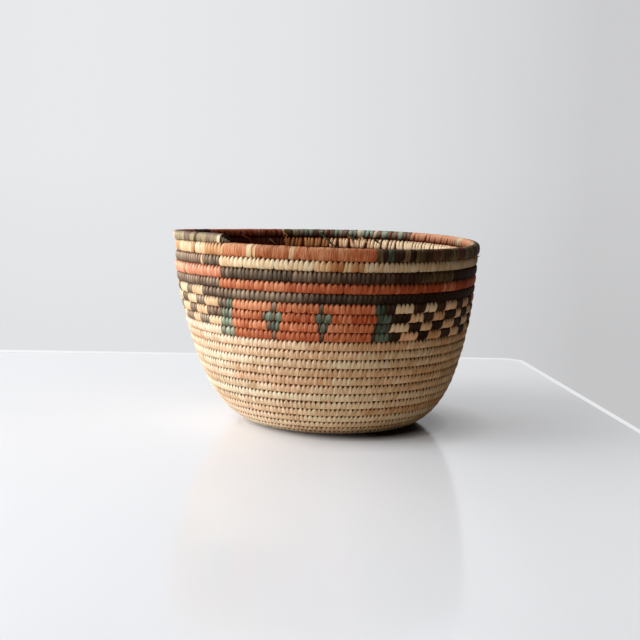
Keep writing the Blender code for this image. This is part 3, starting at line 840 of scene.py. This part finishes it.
def table_material():
    """A pale lacquered table top that throws much light back up on the basket. For the camera it
    glows a little with painted light: more to the right, in front, at the back left and in a
    strip before the basket's middle, and not close to its foot, where a painted shadow darkens
    it instead. Near the basket it is painted cooler, against the warm light that the basket
    throws on it."""
    material, tree = new_material("pale table")
    calc = partial(math_node, tree)
    shader = tree.nodes["Principled BSDF"]
    rays = tree.nodes.new("ShaderNodeLightPath").outputs
    right, away, _ = object_parts(tree)
    left = calc("MULTIPLY", right, -SIDE_GAIN, clamp=True)
    ahead = calc("MULTIPLY", away, -SIDE_GAIN, clamp=True)
    front = calc("MAXIMUM", calc("MULTIPLY", away, -GLOW_FRONT), 0.0)
    back = calc("MAXIMUM", calc("MULTIPLY", away, GLOW_BACK), 0.0)
    glow = calc("ADD", calc("ADD", GLOW, front), calc("MULTIPLY", right, GLOW_RIGHT))
    glow = calc("ADD", glow, calc("MULTIPLY", left, calc("ADD", back, GLOW_LEFT)))
    aside = calc("ABSOLUTE", calc("SUBTRACT", right, AHEAD[0]))
    middle = calc("SUBTRACT", 1.0, calc("DIVIDE", aside, AHEAD[1]), clamp=True)
    strip = calc("MULTIPLY", calc("MULTIPLY", middle, ahead), GLOW_AHEAD)
    beside = calc("SUBTRACT", right, STAND)
    distance = calc("SQRT", calc("ADD", calc("MULTIPLY", beside, beside),
                                 calc("MULTIPLY", away, away)))
    clear = calc("DIVIDE", calc("SUBTRACT", distance, CLEAR[0]), CLEAR[1], clamp=True)
    clear = calc("ADD", clear, left, clamp=True)
    near = fall(calc, distance, *NEAR)
    corner = calc("ADD", CONTACT_SIDE[0], calc("MULTIPLY", right, CONTACT_SIDE[1]), clamp=True)
    contact_shadow = calc("MULTIPLY", fall(calc, distance, *CONTACT), corner)
    shade = mix_colours(tree, near, colour(*TABLE_SHADE), colour(*TABLE_NEAR_COOLED))
    shade = mix_colours(tree, rays["Is Diffuse Ray"], shade, colour(*TABLE_BOUNCE))
    shade = mix_colours(tree, contact_shadow, shade, colour(*PAINTED_CONTACT_SHADOW))
    # The painted light that only the camera sees, none close to the foot or under the painted
    # shadow
    glow = calc("MULTIPLY", calc("ADD", glow, strip), clear)
    glow = calc("MULTIPLY", glow, rays["Is Camera Ray"])
    glow = calc("MULTIPLY", glow, calc("SUBTRACT", 1.0, contact_shadow))
    wire(tree, shade, shader.inputs["Base Color"], glow, shader.inputs["Emission Strength"])
    shader.inputs["Emission Color"].default_value = colour(250, 251, 253)
    shader.inputs["Roughness"].default_value = 0.12
    shader.inputs["Specular IOR Level"].default_value = 0.2
    return material


def stage_plane(name, corners, material):
    """A flat surface that isn't part of the basket."""
    mesh = bpy.data.meshes.new(name)
    mesh.from_pydata(corners, [], [tuple(range(len(corners)))])
    mesh.materials.append(material)
    add_object(name, mesh)


def only_seen(tree):
    """One for what is seen straight on or in reflections, nought for light on other things."""
    rays = tree.nodes.new("ShaderNodeLightPath").outputs
    seen = math_node(tree, "MAXIMUM", rays["Is Camera Ray"], rays["Is Glossy Ray"])
    return math_node(tree, "MAXIMUM", seen, rays["Is Transmission Ray"])


def show_only(tree, factor, shades):
    """Give a surface a mix of two colours that is seen, straight on and in reflections, and
    lights nothing."""
    tree.nodes.remove(tree.nodes["Principled BSDF"])
    glow = tree.nodes.new("ShaderNodeEmission")
    shade = mix_colours(tree, factor, *(colour(*shade) for shade in shades))
    wire(tree, shade, glow.inputs["Color"], only_seen(tree), glow.inputs["Strength"],
         glow.outputs[0], tree.nodes["Material Output"].inputs["Surface"])


def wall_material():
    """A pale grey wall with painted shade, which goes darker to the right, faster and faster, and
    downwards.
    """
    material, tree = new_material("pale wall")
    calc = partial(math_node, tree)
    right, _, up = object_parts(tree)
    across = calc("ADD", calc("MULTIPLY", right, WALL_SLOPE), WALL_PLACE)
    bend = calc("MULTIPLY", calc("MULTIPLY", right, right), WALL_BEND)
    across = calc("ADD", across, bend, clamp=True)
    down = fall(calc, up, LOW_START, LOW_RUN)
    dark = calc("ADD", calc("MULTIPLY", across, WALL_SIDE), calc("MULTIPLY", down, WALL_LOW))
    show_only(tree, dark, WALL_SHADES)
    return material


def edge_material():
    """The table top's polished edge, a painted highlight: a thin bright line that is less bright
    at the right.
    """
    material, tree = new_material("table edge highlight")
    calc = partial(math_node, tree)
    right = object_parts(tree)[0]
    across = calc("ADD", calc("MULTIPLY", right, EDGE_SLOPE), EDGE_PLACE, clamp=True)
    show_only(tree, across, EDGE_HIGHLIGHT_SHADES)
    return material


def set_stage():
    """A pale table top with a pale wall behind it, in a pale room that lights nothing."""
    stage_plane("table_top", TABLE_TOP, table_material())
    edge = edge_material()
    outer = np.array(TABLE_TOP[:0:-1]) + (0, 0, EDGE_RISE)
    inner = outer + EDGE_WIDTH
    for k in range(len(outer) - 1):
        stage_plane(f"table_edge_highlight_{k + 1}", [inner[k], inner[k + 1], outer[k + 1], outer[k]], edge)
    stage_plane("back_wall", [(-3, 1.3, -1.5), (3, 1.3, -1.5), (3, 1.3, 3), (-3, 1.3, 3)],
                wall_material())
    SCENE.world = bpy.data.worlds.new("pale room")
    SCENE.world.use_nodes = True
    tree = SCENE.world.node_tree
    sky = tree.nodes["Background"]
    sky.inputs["Color"].default_value = colour(*ROOM_SHADE)
    wire(tree, only_seen(tree), sky.inputs["Strength"])


# Soft lamps: name, place, what each is turned to, width, height, watts and colour
LAMPS = (
    ("window", (-1.3, -0.2, 0.8), (0, 0, 0.08), 1.0, 0.7, 13.5, (255, 255, 255)),
    ("near_window", (-1.2, -0.65, 0.4), (0, 0, 0.08), 0.9, 0.7, 7.5, (255, 255, 255)),
    ("high_window", (-0.95, -0.55, 1.05), (0, 0, 0.08), 0.9, 0.9, 6.0, (255, 255, 255)),
    ("back_window", (-0.9, 0.9, 1.1), (0, 0, 0.05), 1.0, 0.8, 5.8, (255, 255, 255)),
    ("ceiling", (-0.1, 0.1, 1.6), (0, 0, 0), 1.4, 1.4, 3.5, (255, 253, 250)),
    ("room_front", (0.1, -1.3, 1.0), (0, 0, 0.08), 1.0, 0.8, 0.5, (255, 250, 240)),
    ("room_right", (1.3, -0.3, 0.6), (0, 0, 0.08), 0.8, 0.8, 0.4, (255, 244, 230)))


def area_light(name, place, aim, width, height, watts, shade):
    """A soft light as large as a window, at a place and turned to its aim."""
    data = bpy.data.lights.new(name, "AREA")
    data.shape, data.size, data.size_y, data.energy = "RECTANGLE", width, height, watts
    data.color = colour(*shade)[:3]
    back = np.subtract(place, aim) / np.linalg.norm(np.subtract(place, aim))
    side = np.cross((0, 0, 1), back)
    side /= np.linalg.norm(side)
    rise = np.cross(back, side)
    turned = np.eye(4)
    turned[:3, 0], turned[:3, 1], turned[:3, 2], turned[:3, 3] = side, rise, back, place
    add_object(name, data).matrix_world = Matrix(turned.tolist())


CAMERA_PLACE = (-2.7 * MM, -1023.2 * MM, 210.5 * MM)
CAMERA_LENS, CAMERA_SENSOR = 65.26, 36.0
CAMERA_DIP, CAMERA_ROLL = 6.82, 1.547  # degrees


def set_camera():
    """The camera, a metre in front of the basket and looking a little down on it."""
    data = bpy.data.cameras.new("camera")
    data.lens, data.sensor_width, data.sensor_fit = CAMERA_LENS, CAMERA_SENSOR, "HORIZONTAL"
    data.clip_start = 0.01
    tilt = Matrix.Rotation(math.radians(90 - CAMERA_DIP), 4, "X")
    roll = Matrix.Rotation(math.radians(CAMERA_ROLL), 4, "Z")
    camera = add_object("camera", data)
    camera.matrix_world = Matrix.Translation(CAMERA_PLACE) @ tilt @ roll
    SCENE.camera = camera


set_camera()
for lamp in LAMPS:
    area_light(*lamp)
set_stage()
dress_basket()
SCENE.view_settings.view_transform = "Standard"
